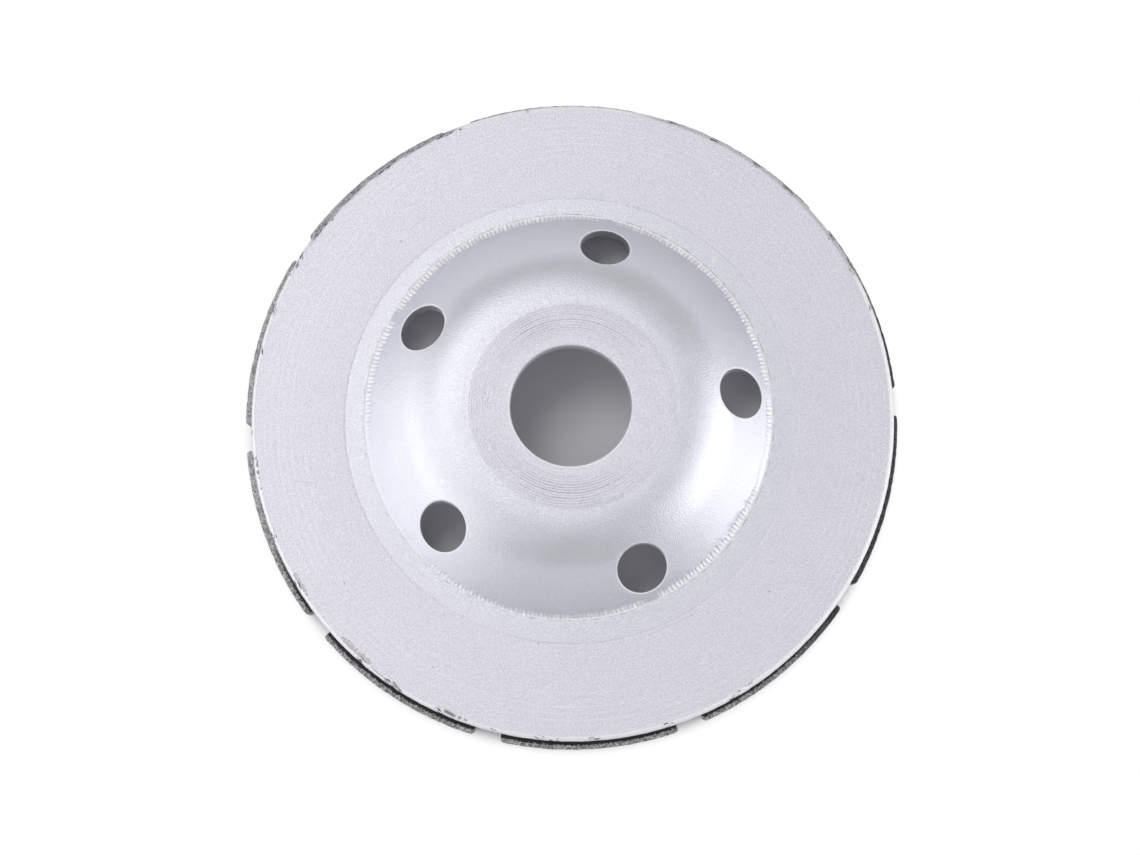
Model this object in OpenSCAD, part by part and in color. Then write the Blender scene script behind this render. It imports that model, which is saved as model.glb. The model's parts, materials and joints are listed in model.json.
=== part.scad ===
/* [Wheel] */
// Outside diameter of the wheel, over the abrasive segments
wheel_d = 125; // [115:0.5:180]
// How far the segments stand out past the rim of the steel cup
segment_overhang = 1.3; // [0:0.1:2]

/* [Pressed steel cup] */
// Thickness of the steel sheet
sheet_t = 3; // [2:0.1:3.6]
// Height of the hub's flat face above the flange
hub_rise = 14; // [12:0.5:17]
// Diameter of the turned flat face on the hub
hub_face_d = 37.6; // [34:0.1:42]
// Radius of the convex shoulder that leads from the hub face into the slope
shoulder_r = 16.2; // [14:0.1:20]
// Angle of the straight slope, from the flange plane
slope_deg = 47; // [43:0.5:50]
// Inside radius of the bend where the slope meets the flange
bend_r = 0.5; // [0.3:0.1:1.5]
// Width of the bevel on the upper edge of the rim
rim_bevel = 0.6; // [0.3:0.1:1]

/* [Arbor bore] */
// Diameter of the arbor bore
bore_d = 22.23; // [16:0.01:25.4]
// Width of the chamfer at each end of the bore
bore_chamfer = 0.3; // [0.1:0.05:0.6]

/* [Scribed ring] */
// Diameter of the fine ring scribed on the flange
ring_d = 86; // [83:0.5:100]
// Width of the scribed line
ring_w = 0.4; // [0.2:0.1:0.8]
// Depth of the scribed line
ring_depth = 0.12; // [0.05:0.01:0.3]

/* [Vent holes] */
// Number of dust and cooling holes in the slope
vent_count = 5; // [3:1:6]
// Diameter of the circle that the vent holes lie on
vent_circle_d = 64; // [60:0.5:68]
// Size of a vent hole around the wheel
vent_w = 9.4; // [6:0.1:11]
// Size of a vent hole from the hub outwards, seen along the axis
vent_l = 8.4; // [5:0.1:9]
// Direction of the first vent hole, from the +X axis
vent_start_deg = 6.3; // [0:0.1:60]

/* [Abrasive segments] */
// Radial width of a segment
segment_w = 7; // [5:0.5:10]
// Height of a segment, from the flange to the grinding face
segment_h = 5; // [3:0.5:8]
// Width of the gap between two segments at their outer edge
segment_gap = 5.1; // [3:0.1:9]
// Direction of the middle of the first gap, from the +X axis
gap_start_deg = 3.2; // [0:0.1:36]

/* [Hidden] */
segment_count = 10;
facets = 180;
arc_step_deg = 3;
vent_sides = 40;
cut_margin = 1;

// Levels of the flat faces, from the grinding face upwards
flange_under_z = segment_h;
flange_top_z = flange_under_z + sheet_t;
hub_top_z = flange_top_z + hub_rise;
hub_under_z = hub_top_z - sheet_t;

// Upper side of the shoulder: an arc that starts level at the edge of the hub face
hub_face_r = hub_face_d / 2;
shoulder_center = [hub_face_r, hub_top_z - shoulder_r];
shoulder_end = shoulder_center + shoulder_r * [sin(slope_deg), cos(slope_deg)];

// The slope runs straight from the shoulder's end down to the flange plane
crease_r = shoulder_end[0] + (shoulder_end[1] - flange_top_z) / tan(slope_deg);

// Upper side of the bend: a small arc that is tangent to the slope and to the flange
bend_center = [crease_r + bend_r * tan(slope_deg / 2), flange_top_z + bend_r];

// The rim of the cup lies inside the outer edge of the segments that it carries
wheel_r = wheel_d / 2;
rim_r = wheel_r - segment_overhang;

segment_pitch_deg = 360 / segment_count;
gap_deg = segment_gap / (PI * wheel_d) * 360;
segment_deg = segment_pitch_deg - gap_deg;

// Points of an arc of radius r about c, between two directions from the +X axis
function arc(c, r, from_deg, to_deg) =
    let (steps = ceil(abs(to_deg - from_deg) / arc_step_deg))
    [for (i = [0 : steps])
        let (a = from_deg + (to_deg - from_deg) * i / steps)
        c + r * [cos(a), sin(a)]];

// One side of the bent sheet from the bore to the rim, a depth t below its upper side
function sheet_side(t) = concat(
    arc(shoulder_center, shoulder_r - t, 90, 90 - slope_deg),
    arc(bend_center, bend_r + t, 270 - slope_deg, 270)
);

// Half section of the cup, in radius and height
module cup_section() {
    bore_r = bore_d / 2;
    under = sheet_side(sheet_t);
    difference() {
        polygon(concat(
            [[bore_r + bore_chamfer, hub_top_z]],
            sheet_side(0),
            [[rim_r - rim_bevel, flange_top_z],
             [rim_r, flange_top_z - rim_bevel],
             [rim_r, flange_under_z]],
            [for (i = [len(under) - 1 : -1 : 0]) under[i]],
            [[bore_r + bore_chamfer, hub_under_z],
             [bore_r, hub_under_z + bore_chamfer],
             [bore_r, hub_top_z - bore_chamfer]]
        ));
        scribed_line();
    }
}

// V-shaped section of the scribed ring
module scribed_line() {
    translate([ring_d / 2, flange_top_z])
        polygon([
            [-ring_w, ring_depth],
            [0, -ring_depth],
            [ring_w, ring_depth]
        ]);
}

// Vent hole, punched along the axis and drawn oval with the slope
module vent_hole() {
    outline = [for (i = [0 : vent_sides - 1])
        let (a = 360 * i / vent_sides)
        [vent_l / 2 * cos(a), vent_w / 2 * sin(a)]];
    translate([vent_circle_d / 2, 0, flange_under_z - cut_margin])
        linear_extrude(height = hub_rise + sheet_t + 2 * cut_margin)
            polygon(outline);
}

module cup_body() {
    color("gainsboro")
        difference() {
            rotate_extrude($fn = facets)
                cup_section();
            for (i = [0 : vent_count - 1])
                rotate([0, 0, vent_start_deg + 360 * i / vent_count])
                    vent_hole();
        }
}

// Abrasive segment, bonded face to face under the flange and standing past the rim
module segment(index) {
    start_deg = gap_start_deg + gap_deg / 2 + (index - 1) * segment_pitch_deg;
    color("dimgray")
        rotate([0, 0, start_deg])
            rotate_extrude(angle = segment_deg, $fn = facets)
                translate([wheel_r - segment_w, 0])
                    square([segment_w, segment_h]);
}

cup_body();
for (i = [1 : segment_count])
    segment(i);
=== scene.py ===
"""Dresses a diamond cup wheel: a pressed and painted steel cup with sintered abrasive segments."""

import json
import math

import bpy
import numpy as np
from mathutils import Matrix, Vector, noise


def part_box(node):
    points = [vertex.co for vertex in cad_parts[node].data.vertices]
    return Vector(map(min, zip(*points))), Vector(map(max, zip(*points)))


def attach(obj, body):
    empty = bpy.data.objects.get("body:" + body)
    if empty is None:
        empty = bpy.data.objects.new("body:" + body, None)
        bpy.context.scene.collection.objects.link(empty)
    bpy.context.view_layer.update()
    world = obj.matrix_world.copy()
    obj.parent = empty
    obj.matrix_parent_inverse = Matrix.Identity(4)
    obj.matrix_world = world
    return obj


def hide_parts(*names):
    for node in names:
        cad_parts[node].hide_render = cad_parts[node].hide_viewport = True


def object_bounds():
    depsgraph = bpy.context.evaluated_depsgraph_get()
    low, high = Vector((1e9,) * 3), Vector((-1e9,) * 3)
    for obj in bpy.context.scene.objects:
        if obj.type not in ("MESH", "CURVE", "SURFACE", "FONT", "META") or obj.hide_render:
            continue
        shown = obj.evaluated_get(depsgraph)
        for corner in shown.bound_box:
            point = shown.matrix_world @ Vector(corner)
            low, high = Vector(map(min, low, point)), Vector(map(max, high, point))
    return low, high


bl_info = {
    "name": "Diamond Cup Wheel",
    "version": (1, 0, 0),
    "blender": (4, 5, 0),
    "location": "View3D > Sidebar > Cup Wheel",
    "description": "Builds a painted steel cup wheel with sintered abrasive segments",
    "category": "Add Mesh",
}

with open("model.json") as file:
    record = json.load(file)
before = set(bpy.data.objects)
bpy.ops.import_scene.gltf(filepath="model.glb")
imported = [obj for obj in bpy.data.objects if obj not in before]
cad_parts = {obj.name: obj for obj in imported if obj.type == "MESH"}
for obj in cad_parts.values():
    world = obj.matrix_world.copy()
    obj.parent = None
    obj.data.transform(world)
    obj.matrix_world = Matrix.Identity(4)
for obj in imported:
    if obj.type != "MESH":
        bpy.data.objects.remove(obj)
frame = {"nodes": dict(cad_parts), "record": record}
CAD_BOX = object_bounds()
CUP_LOW, CUP_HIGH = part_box("cup_body")
SEGMENT_NODES = sorted(name for name in frame["nodes"] if name.startswith("segment_"))
SEGMENT_LOW, SEGMENT_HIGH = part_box(SEGMENT_NODES[0])
MOUNTS = {mount["name"]: mount for mount in frame["record"]["mounts"]}

MM = 0.001
BODY = "root"

# Columns around the wheel, and how many times finer the ring of columns at the crease is
COLUMNS = 540
CREASE_FINER = 3


# Sizes and looks that a user would change

class CupSizes(bpy.types.PropertyGroup):
    """Sizes of the pressed steel cup."""

    rim_radius: bpy.props.FloatProperty(
        name="Rim Radius", description="Outer radius of the steel cup",
        default=61.2 * MM, unit="LENGTH")
    bore_radius: bpy.props.FloatProperty(
        name="Bore Radius", description="Radius of the arbor bore",
        default=MOUNTS["arbor_bore"]["dims"]["r_mm"] * MM, unit="LENGTH")
    bore_chamfer: bpy.props.FloatProperty(
        name="Bore Chamfer", description="Width of the chamfer at the ends of the bore",
        default=0.3 * MM, unit="LENGTH")
    sheet: bpy.props.FloatProperty(
        name="Sheet Thickness", description="Thickness of the steel sheet",
        default=3.0 * MM, unit="LENGTH")
    hub_face_radius: bpy.props.FloatProperty(
        name="Hub Face Radius", description="Radius of the turned flat on the hub",
        default=18.8 * MM, unit="LENGTH")
    shoulder_radius: bpy.props.FloatProperty(
        name="Shoulder Radius", description="Radius of the bend from the hub face into the slope",
        default=16.2 * MM, unit="LENGTH")
    slope: bpy.props.FloatProperty(
        name="Slope", description="Angle of the slope from the flange plane",
        default=math.radians(47.0), subtype="ANGLE", unit="ROTATION")
    bend_radius: bpy.props.FloatProperty(
        name="Bend Radius", description="Inside radius of the bend between slope and flange",
        default=0.5 * MM, unit="LENGTH")
    rim_bevel: bpy.props.FloatProperty(
        name="Rim Bevel", description="Width of the bevel on the upper edge of the rim",
        default=0.6 * MM, unit="LENGTH")
    ring_radius: bpy.props.FloatProperty(
        name="Scribed Ring Radius", description="Radius of the fine ring scribed on the flange",
        default=43.0 * MM, unit="LENGTH")
    ring_width: bpy.props.FloatProperty(
        name="Scribed Ring Width", description="Width of the scribed line",
        default=0.4 * MM, unit="LENGTH")
    unturned_slope: bpy.props.FloatProperty(
        name="Unturned Slope", description="Slight slope of the flange between the crease and the scribed ring",
        default=math.radians(3.2), subtype="ANGLE", unit="ROTATION")
    ring_depth: bpy.props.FloatProperty(
        name="Scribed Ring Depth", description="Depth of the scribed line",
        default=0.12 * MM, unit="LENGTH")
    press_offset: bpy.props.FloatVectorProperty(
        name="Press Offset", description="How far the crease lies off the bore's axis",
        default=(-0.55 * MM, 0.50 * MM), size=2, unit="LENGTH")
    rim_offset: bpy.props.FloatVectorProperty(
        name="Rim Offset", description="How far the rim lies off the bore's axis",
        default=(0.24 * MM, 0.28 * MM), size=2, unit="LENGTH")
    mark_slope: bpy.props.FloatProperty(
        name="Press Mark Slope", description="Angle of the short facets cut along the crease",
        default=math.radians(24.0), subtype="ANGLE", unit="ROTATION")


class VentSizes(bpy.types.PropertyGroup):
    """Sizes of the vent holes in the slope."""

    count: bpy.props.IntProperty(
        name="Vent Holes", description="Number of vent holes", default=5, min=1)
    circle_radius: bpy.props.FloatProperty(
        name="Circle Radius", description="Radius of the circle the holes lie on",
        default=32.0 * MM, unit="LENGTH")
    width: bpy.props.FloatProperty(
        name="Width", description="Size of a hole around the wheel",
        default=9.4 * MM, unit="LENGTH")
    length: bpy.props.FloatProperty(
        name="Length", description="Size of a hole from the hub outwards",
        default=8.4 * MM, unit="LENGTH")
    start: bpy.props.FloatProperty(
        name="Start", description="Direction of the first hole from the X axis",
        default=math.radians(6.3), subtype="ANGLE", unit="ROTATION")
    lip: bpy.props.FloatProperty(
        name="Lip Radius", description="Rounding of a hole's upper edge",
        default=0.28 * MM, unit="LENGTH")


class SegmentSizes(bpy.types.PropertyGroup):
    """Sizes of the abrasive segments."""

    outer_radius: bpy.props.FloatProperty(
        name="Outer Radius", description="Outer radius of the segments",
        default=62.5 * MM, unit="LENGTH")
    width: bpy.props.FloatProperty(
        name="Width", description="Radial width of a segment",
        default=7.0 * MM, unit="LENGTH")
    height: bpy.props.FloatProperty(
        name="Height", description="Height of a segment",
        default=round(SEGMENT_HIGH.z - SEGMENT_LOW.z, 5), unit="LENGTH")
    gap: bpy.props.FloatProperty(
        name="Gap", description="Gap between two segments at their outer edge",
        default=5.1 * MM, unit="LENGTH")
    gap_start: bpy.props.FloatProperty(
        name="First Gap", description="Direction of the first gap from the X axis",
        default=math.radians(3.2), subtype="ANGLE", unit="ROTATION")
    corner_radius: bpy.props.FloatProperty(
        name="Corner Radius", description="Rounding of a segment's upright edges",
        default=0.7 * MM, unit="LENGTH")
    edge_radius: bpy.props.FloatProperty(
        name="Edge Radius", description="Rounding of a segment's level edges",
        default=0.25 * MM, unit="LENGTH")
    roughness: bpy.props.FloatProperty(
        name="Surface Roughness", description="Depth of the coarse surface",
        default=0.16 * MM, unit="LENGTH")
    cell: bpy.props.FloatProperty(
        name="Mesh Cell", description="Size of a mesh cell on a segment",
        default=0.34 * MM, unit="LENGTH")


class PaintLook(bpy.types.PropertyGroup):
    """Colours and gloss of the silver paint and of the steel where it's chipped, and the colours of the painted
    highlights and shade.
    """

    paint: bpy.props.FloatVectorProperty(
        name="Paint", description="Colour of the silver paint",
        default=(0.776, 0.763, 0.828), subtype="COLOR", size=3, min=0.0, max=1.0)
    pressed_paint: bpy.props.FloatVectorProperty(
        name="Pressed Paint", description="Colour of the silver paint on the smooth slope",
        default=(0.761, 0.771, 0.830), subtype="COLOR", size=3, min=0.0, max=1.0)
    # Also the colour of the painted shade in the vent walls, beside the crease and on a stretch of the bevel
    steel: bpy.props.FloatVectorProperty(
        name="Bare Steel", description="Colour of the steel under chipped paint",
        default=(0.12, 0.115, 0.12), subtype="COLOR", size=3, min=0.0, max=1.0)
    # Near white painted highlight on the crease marks, vent lips, bevel and bore edge
    edge: bpy.props.FloatVectorProperty(
        name="Burnished Edge", description="Colour of the burnished marks along the crease",
        default=(0.97, 0.965, 0.98), subtype="COLOR", size=3, min=0.0, max=1.0)
    rubbed: bpy.props.FloatVectorProperty(
        name="Rubbed Paint", description="Colour of paint that is rubbed dull",
        default=(0.50, 0.46, 0.46), subtype="COLOR", size=3, min=0.0, max=1.0)
    turned_roughness: bpy.props.FloatProperty(
        name="Turned Roughness", description="Roughness of the paint on turned faces",
        default=0.58, min=0.0, max=1.0)
    pressed_roughness: bpy.props.FloatProperty(
        name="Pressed Roughness", description="Roughness of the paint on the smooth slope",
        default=0.37, min=0.0, max=1.0)
    metallic: bpy.props.FloatProperty(
        name="Metallic", description="Share of metal flake in the paint",
        default=0.85, min=0.0, max=1.0)


class SegmentLook(bpy.types.PropertyGroup):
    """Colours of the sintered diamond matrix, with a lighter bond painted on the lit left side and a black painted
    shadow beside the steel.
    """

    bond: bpy.props.FloatVectorProperty(
        name="Bond", description="Colour of the metal bond between the grains",
        default=(0.19, 0.185, 0.19), subtype="COLOR", size=3, min=0.0, max=1.0)
    # Bond painted lighter on the lit left side; the plain bond colour stands for the shaded rest
    lit_bond: bpy.props.FloatVectorProperty(
        name="Worn Bond", description="Colour of the bond where its dark skin is rubbed off",
        default=(0.31, 0.30, 0.31), subtype="COLOR", size=3, min=0.0, max=1.0)
    grain: bpy.props.FloatVectorProperty(
        name="Grain", description="Colour of the bright grains",
        default=(0.62, 0.61, 0.61), subtype="COLOR", size=3, min=0.0, max=1.0)
    # Black painted shadow on the ledge beside the steel and on the right side of the segments
    painted_shadow: bpy.props.FloatVectorProperty(
        name="Furnace Skin", description="Colour of the black skin beside the steel",
        default=(0.019, 0.015, 0.017), subtype="COLOR", size=3, min=0.0, max=1.0)


class StudioLook(bpy.types.PropertyGroup):
    """Floor, lights and camera."""

    floor: bpy.props.FloatVectorProperty(
        name="Floor", description="Colour of the floor",
        default=(0.90, 0.89, 0.92), subtype="COLOR", size=3, min=0.0, max=1.0)
    sky: bpy.props.FloatVectorProperty(
        name="Room", description="Colour of the room's light",
        default=(0.50, 0.504, 0.508), subtype="COLOR", size=3, min=0.0, max=1.0)
    camera_distance: bpy.props.FloatProperty(
        name="Camera Distance", description="From the camera to the middle of the flange",
        default=0.372, unit="LENGTH")
    camera_tilt: bpy.props.FloatProperty(
        name="Camera Tilt", description="How far the camera leans off the wheel's axis",
        default=math.radians(8.5), subtype="ANGLE", unit="ROTATION")
    camera_turn: bpy.props.FloatProperty(
        name="Camera Turn", description="Direction in which the camera leans",
        default=math.radians(-2.7), subtype="ANGLE", unit="ROTATION")


# Plain shapes and numbers

def smooth_step(low, high, value):
    """0 below low, 1 above high, and a smooth rise between them."""
    t = np.clip((value - low) / (high - low), 0.0, 1.0)
    return t * t * (3.0 - 2.0 * t)


def soft_floor(value, softness):
    """value where it is well above zero, nought well below it, and a soft bend between them."""
    return softness * np.logaddexp(0.0, value / softness)


def angle_apart(a, b):
    """The unsigned angle between two directions."""
    return np.abs((a - b + math.pi) % (2.0 * math.pi) - math.pi)


class CupShape:
    """The cup's two surfaces, as heights over a point of the grinding plane."""

    # Marks along the crease, in degrees and metres
    TICK_PITCH = math.radians(1.22)
    TICK_HALF_WIDTHS = (math.radians(0.34), math.radians(0.52))
    TICK_UNEVEN = 0.2 * MM
    # Direction in which the painted highlight on the burr along the crease is strongest
    TICK_HIGHLIGHT_DIRECTION = math.radians(60.0)
    # Direction in degrees, how strong the marks are there, and their length in millimetres; the strength also sets
    # how white the marks are painted as a highlight
    TICK_SHARES = (
        (-15, 0.12, 1.2), (3, 0.5, 1.4), (8, 1.0, 1.45), (60, 1.0, 1.4), (72, 0.7, 1.2), (90, 0.7, 1.2),
        (98, 1.0, 1.4), (150, 1.0, 1.5), (176, 0.7, 1.4), (190, 0.2, 1.1), (212, 0.2, 0.9), (220, 0.6, 0.85),
        (252, 0.6, 0.85), (272, 0.7, 1.0), (300, 1.0, 1.3), (333, 0.9, 1.4),
    )
    CALM_HALF_ANGLE = math.radians(0.8)
    CALM_FADE = math.radians(3.2)
    CREASE_SOFTNESS = 0.05 * MM
    CALM_SOFTNESS = 0.16 * MM
    LIP_HEIGHT = 0.10 * MM
    LIP_HALF_WIDTH = 0.11 * MM
    GLOSS_RISE = 9.0 * MM
    UNTURNED_GLOSS = 0.3
    HUB_STEP = 0.05 * MM
    HUB_STEP_RUN = 0.08 * MM
    # Painted highlight on the vent lips, on their inner and outer sides
    VENT_HIGHLIGHT_SHARES = (0.3, 0.8)
    # Painted shade in the vent walls
    VENT_WALL_SHADE = 0.25
    # Painted highlight on the bore's chamfer, and the direction in which it is brightest
    BORE_HIGHLIGHT_SHARE = 0.8
    BORE_HIGHLIGHT_TOWARDS = math.radians(240.0)
    # Painted shade line just outside the crease
    CREASE_SHADE_OUT = 0.2 * MM
    CREASE_SHADE_HALF_WIDTH = 0.07 * MM
    CREASE_SHADE_SHARE = 0.55
    # Painted highlight on the bevel, widest towards one direction, and a stretch of the bevel painted darker as shade
    BEVEL_HIGHLIGHT_SHARE = 0.85
    WIDEST_HIGHLIGHT = math.radians(-20.0)
    SHADED_BEVEL = math.radians(52.0)
    SHADED_HALF_ANGLES = (math.radians(21.0), math.radians(28.0))
    SHADED_BEVEL_SHARE = 0.22
    WORN_BEVEL = math.radians(129.0)
    WORN_HALF_ANGLES = (math.radians(15.0), math.radians(19.0))
    WORN_SHARE = 0.45
    RAGGED_WAVES = (61, 97, 151, 223)
    RAGGED_DEPTH = 0.04 * MM
    # Flecks chipped off the rim's paint: direction in degrees, length along the rim in millimetres
    RIM_CHIPS = (
        (20, 3), (27.7, 3), (34.9, 3), (46.2, 4), (53.9, 3), (63.1, 3), (71.3, 3), (98, 2), (113, 8), (120, 8),
        (127, 9), (135, 10), (142, 9), (150, 9), (160, 3), (168, 3), (183, 2), (188, 2), (202, 3), (212, 3), (230, 6), (236, 4),
        (247, 6), (256, 2), (266, 6), (274, 3), (287, 3), (300, 5),
    )
    # Patches rubbed down to a dull taupe: direction in degrees, length and reach inwards in millimetres
    RIM_RUBS = ((212.0, 6.0, 0.9), (227.6, 9.0, 1.3), (135.0, 3.4, 0.5), (303.0, 2.4, 0.6))

    def __init__(self, cup, vents):
        self.cup = cup
        self.vents = vents
        self.under_z = CUP_LOW.z
        self.flange_z = CUP_LOW.z + cup.sheet
        self.hub_z = CUP_HIGH.z
        slope = cup.slope
        self.shoulder_r = cup.hub_face_radius + cup.shoulder_radius * math.sin(slope)
        shoulder_z = self.hub_z - cup.shoulder_radius * (1.0 - math.cos(slope))
        self.crease_r = self.shoulder_r + (shoulder_z - self.flange_z) / math.tan(slope)
        self.bend_r = self.crease_r + cup.bend_radius * math.tan(slope / 2.0)
        self.press_offset = np.array(cup.press_offset)
        self.rim_offset = np.array(cup.rim_offset)
        rng = np.random.default_rng(11)
        count = round(2.0 * math.pi / self.TICK_PITCH)
        self.tick_angles = (np.arange(count) + rng.uniform(-0.1, 0.1, count)) * 2.0 * math.pi / count
        directions, shares, lengths = zip(*self.TICK_SHARES)
        turned = np.degrees(self.tick_angles)
        self.tick_lengths = rng.uniform(-self.TICK_UNEVEN, self.TICK_UNEVEN, count)
        self.tick_lengths += np.interp(turned, directions, lengths, period=360.0) * MM
        self.tick_strengths = rng.uniform(0.5, 1.0, count)
        self.tick_strengths *= np.interp(turned, directions, shares, period=360.0)

    def arc_and_slope(self, r, radius, centre_z, slope_start_r, slope_start_z):
        """A level stretch, an arc of that radius and a straight slope that goes on downwards."""
        inner = self.cup.hub_face_radius
        along = np.clip(r - inner, 0.0, radius * math.sin(self.cup.slope))
        arc_z = centre_z + np.sqrt(np.maximum(radius ** 2 - along ** 2, 0.0))
        slope_z = slope_start_z - (r - slope_start_r) * math.tan(self.cup.slope)
        return np.where(r > slope_start_r, slope_z, arc_z)

    def dome(self, r):
        """Upper side of the hub, shoulder and slope."""
        radius = self.cup.shoulder_radius
        centre_z = self.hub_z - radius
        start_z = centre_z + radius * math.cos(self.cup.slope)
        return self.arc_and_slope(r, radius, centre_z, self.shoulder_r, start_z)

    def lower(self, x, y):
        """Underside of the sheet, parallel to its upper side."""
        r = np.hypot(x, y)
        radius = self.cup.shoulder_radius - self.cup.sheet
        centre_z = self.hub_z - self.cup.shoulder_radius
        start_r = self.cup.hub_face_radius + radius * math.sin(self.cup.slope)
        start_z = centre_z + radius * math.cos(self.cup.slope)
        dome = self.arc_and_slope(r, radius, centre_z, start_r, start_z)
        bend = self.cup.bend_radius + self.cup.sheet
        along = np.clip(self.bend_r - r, 0.0, bend * math.sin(self.cup.slope))
        bend_z = self.flange_z + self.cup.bend_radius - np.sqrt(bend ** 2 - along ** 2)
        bend_start = self.bend_r - bend * math.sin(self.cup.slope)
        return np.where(r > bend_start, bend_z, dome)

    def lean(self, r):
        """Share of the press offset that a point of radius r follows."""
        rise = smooth_step(self.cup.hub_face_radius + 1.0 * MM, self.crease_r - 3.4 * MM, r)
        fall = smooth_step(self.crease_r + 1.9 * MM, self.cup.ring_radius - 0.4 * MM, r)
        return rise * (1.0 - fall)

    def moved(self, r, angles, pressed):
        """Plan position of a row, moved with the crease and with the rim's turning."""
        outer = smooth_step(self.cup.ring_radius + 2.0 * MM, self.cup.rim_radius - 3.0 * MM, r)
        near = smooth_step(self.crease_r - 2.4 * MM, self.crease_r - 1.0 * MM, r)
        inner = near * self.lean(r) if pressed else 0.0
        x = r * np.cos(angles) + outer * self.rim_offset[0] + inner * self.press_offset[0]
        y = r * np.sin(angles) + outer * self.rim_offset[1] + inner * self.press_offset[1]
        return x, y

    def ragged(self, angles):
        """How far the paint's edge falls short of the rim, around the wheel."""
        waves = sum(np.sin(count * angles + count) for count in self.RAGGED_WAVES)
        return self.RAGGED_DEPTH * (1.0 + waves / len(self.RAGGED_WAVES))

    def calm(self, angle):
        """1 beside a vent hole, where the drawn metal wiped out the crease, and 0 elsewhere."""
        pitch = 2.0 * math.pi / self.vents.count
        near = (angle - self.vents.start + pitch / 2.0) % pitch - pitch / 2.0
        return 1.0 - smooth_step(self.CALM_HALF_ANGLE, self.CALM_HALF_ANGLE + self.CALM_FADE, np.abs(near))

    def press_marks(self, angle, inside):
        """Share of the short facets, at a direction and a distance inside the crease."""
        flat_angle, flat_inside = np.ravel(angle), np.ravel(inside)
        height = np.zeros_like(flat_angle)
        near = np.flatnonzero((flat_inside > -0.2 * MM) & (flat_inside < self.tick_lengths.max()))
        if near.size:
            apart = angle_apart(flat_angle[near, None], self.tick_angles[None, :])
            ridge = 1.0 - smooth_step(*self.TICK_HALF_WIDTHS, apart)
            depth = flat_inside[near, None]
            window = smooth_step(-0.05 * MM, 0.05 * MM, depth)
            window = window * (1.0 - smooth_step(self.tick_lengths * 0.8, self.tick_lengths, depth))
            height[near] = (ridge * window * self.tick_strengths).max(axis=1)
        return height.reshape(np.shape(angle))

    def lip(self, angle, inside):
        """Share of the broken burr that runs along the crease."""
        wave = 0.55 + 0.45 * np.sin(angle * 37.0) * np.sin(angle * 113.0 + 1.0)
        return np.exp(-(inside / self.LIP_HALF_WIDTH) ** 2) * wave

    def upper(self, x, y):
        """Upper side of the sheet, with its crease, press marks and scribed ring."""
        r = np.hypot(x, y)
        share = self.lean(r)
        from_x, from_y = x - share * self.press_offset[0], y - share * self.press_offset[1]
        pressed_r = np.hypot(from_x, from_y)
        angle = np.arctan2(from_y, from_x)
        calm = self.calm(angle)
        softness = self.CREASE_SOFTNESS + (self.CALM_SOFTNESS - self.CREASE_SOFTNESS) * calm
        z = self.flange_z + soft_floor(self.dome(pressed_r) - self.flange_z, softness)
        z = np.where(pressed_r > self.crease_r + 2.2 * MM, self.flange_z, z)
        short = np.clip(self.cup.ring_radius - r, 0.0, self.cup.ring_radius - self.crease_r)
        z = np.maximum(z, self.flange_z + short * math.tan(self.cup.unturned_slope))
        inside = self.crease_r - pressed_r
        facet = self.flange_z + np.maximum(inside, 0.0) * math.tan(self.cup.mark_slope)
        z = z + (np.minimum(facet, z) - z) * self.press_marks(angle, inside) * (1.0 - calm)
        z = z + self.LIP_HEIGHT * self.lip(angle, inside) * (1.0 - calm)
        edge = self.cup.hub_face_radius
        z = z - self.HUB_STEP * smooth_step(edge - self.HUB_STEP_RUN, edge + self.HUB_STEP_RUN, r)
        groove = np.maximum(0.0, 1.0 - np.abs(r - self.cup.ring_radius) * 2.0 / self.cup.ring_width)
        return z - self.cup.ring_depth * groove

    def around_rim(self, x, y):
        """Direction from the rim's centre, and distance inside the rim."""
        from_x, from_y = x - self.rim_offset[0], y - self.rim_offset[1]
        return np.arctan2(from_y, from_x), self.cup.rim_radius - np.hypot(from_x, from_y)

    def chipped(self, x, y):
        """Up to 1 where the paint of the rim is flecked with chips."""
        angle, inside = self.around_rim(x, y)
        mask = np.zeros_like(angle)
        for direction, length in self.RIM_CHIPS:
            along = angle_apart(angle, math.radians(direction)) * self.cup.rim_radius / (length * MM)
            mask = np.maximum(mask, 1.0 - smooth_step(0.2, 0.7, along))
        edge = 1.0 - smooth_step(self.cup.rim_bevel, self.cup.rim_bevel + 1.0 * MM, inside)
        return (0.25 + 0.75 * mask) * edge

    def rubbed(self, x, y):
        """Up to 1 where the paint is rubbed dull, just inside the bevel."""
        angle, inside = self.around_rim(x, y)
        mask = np.zeros_like(angle)
        for direction, length, reach in self.RIM_RUBS:
            along = angle_apart(angle, math.radians(direction)) * self.cup.rim_radius / (length * MM)
            depth = (inside - self.cup.rim_bevel) / (reach * MM)
            window = smooth_step(-0.15, 0.1, depth) * (1.0 - smooth_step(0.7, 1.3, depth))
            mask = np.maximum(mask, (1.0 - smooth_step(0.35, 0.6, along)) * window)
        return mask

    def seam(self, x, y):
        """Share of the painted shade line that runs just outside the crease."""
        share = self.lean(np.hypot(x, y))
        from_x, from_y = x - share * self.press_offset[0], y - share * self.press_offset[1]
        angle = np.arctan2(from_y, from_x)
        outside = np.hypot(from_x, from_y) - self.crease_r
        wave = np.clip(0.3 + 0.7 * np.sin(angle * 29.0 + 2.0) * np.sin(angle * 71.0) + 0.3 * np.cos(angle - 0.6), 0.0, 1.0)
        line = np.exp(-((outside - self.CREASE_SHADE_OUT) / self.CREASE_SHADE_HALF_WIDTH) ** 2)
        return self.CREASE_SHADE_SHARE * wave * line * (1.0 - self.calm(angle))

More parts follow.
